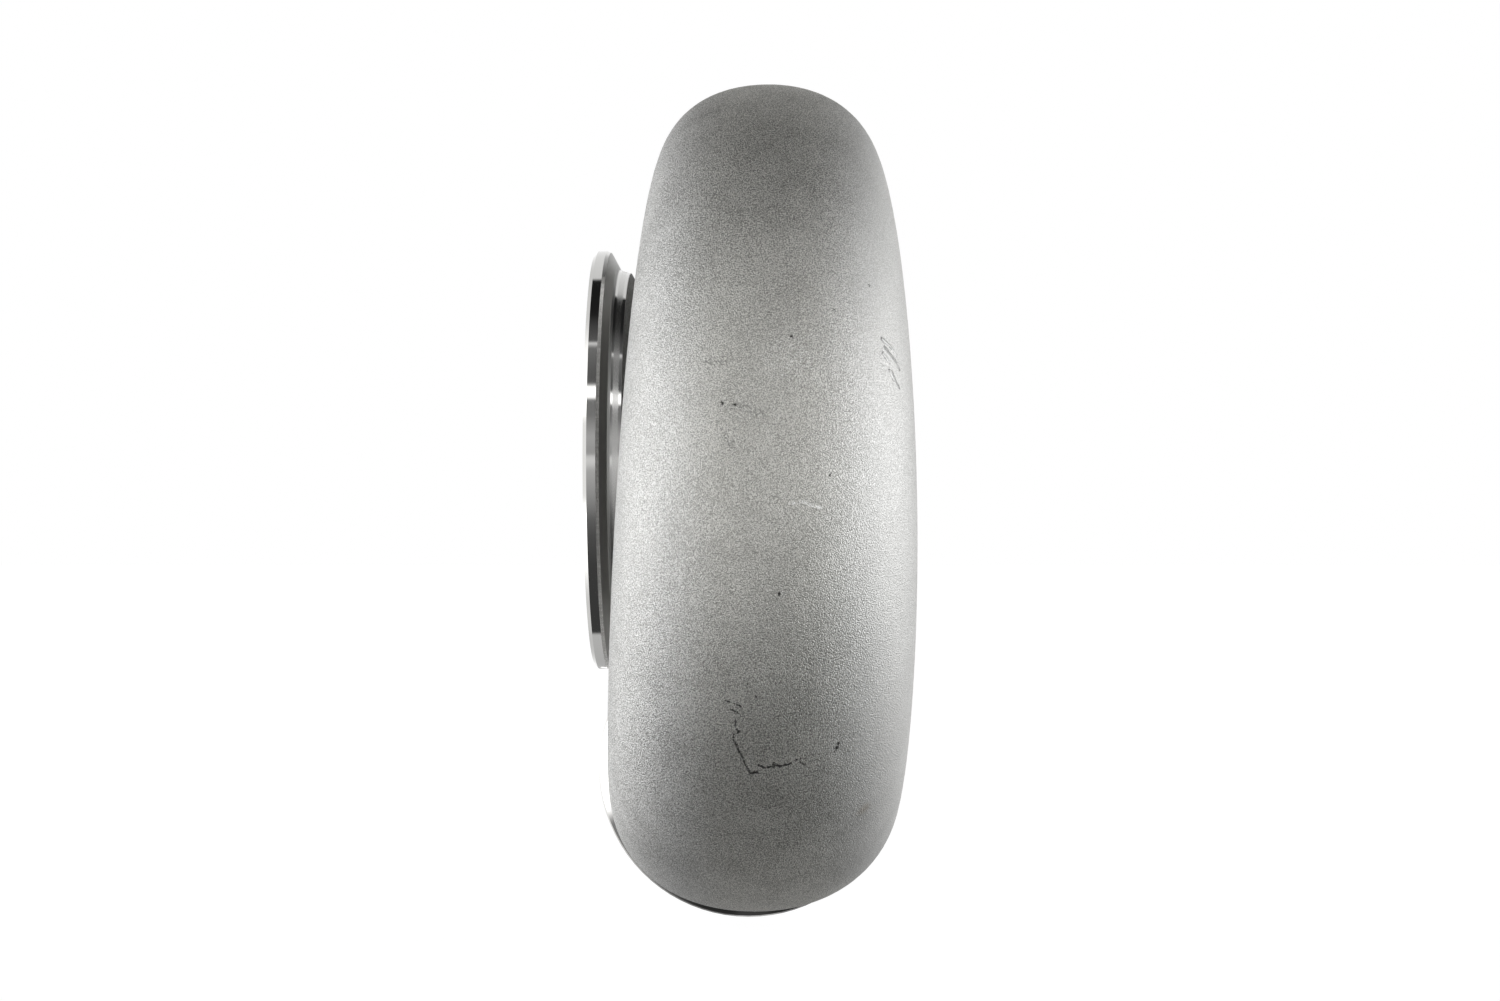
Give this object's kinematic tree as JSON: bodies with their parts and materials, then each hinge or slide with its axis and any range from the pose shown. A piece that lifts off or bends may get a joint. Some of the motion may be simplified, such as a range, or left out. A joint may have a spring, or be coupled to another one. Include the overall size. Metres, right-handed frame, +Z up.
{
  "type": "turbo turbine housing",
  "caption": "Cast turbocharger turbine housing: a spiral scroll with a round V-band inlet, a V-band exhaust outlet and a bolted bearing-housing side.",
  "frame": {"origin": "centre of the bearing-housing pilot bore, on the face that the bearing housing bolts against", "axes": "+X along the turbine axis, out of the bearing-housing face; the exhaust leaves along -X; +Y is the way the inlet flange looks; +Z is up as in the picture, with the inlet at the bottom"},
  "size_m": [0.0748, 0.1847, 0.1881],
  "materials": {
    "cast_steel": "blasted stainless casting, matt and finely grained; flange rims, registers and the bolt face are turned bright"
  },
  "bodies": {
    "root": {"turbine_housing": "cast_steel"}
  },
  "joints": []
}
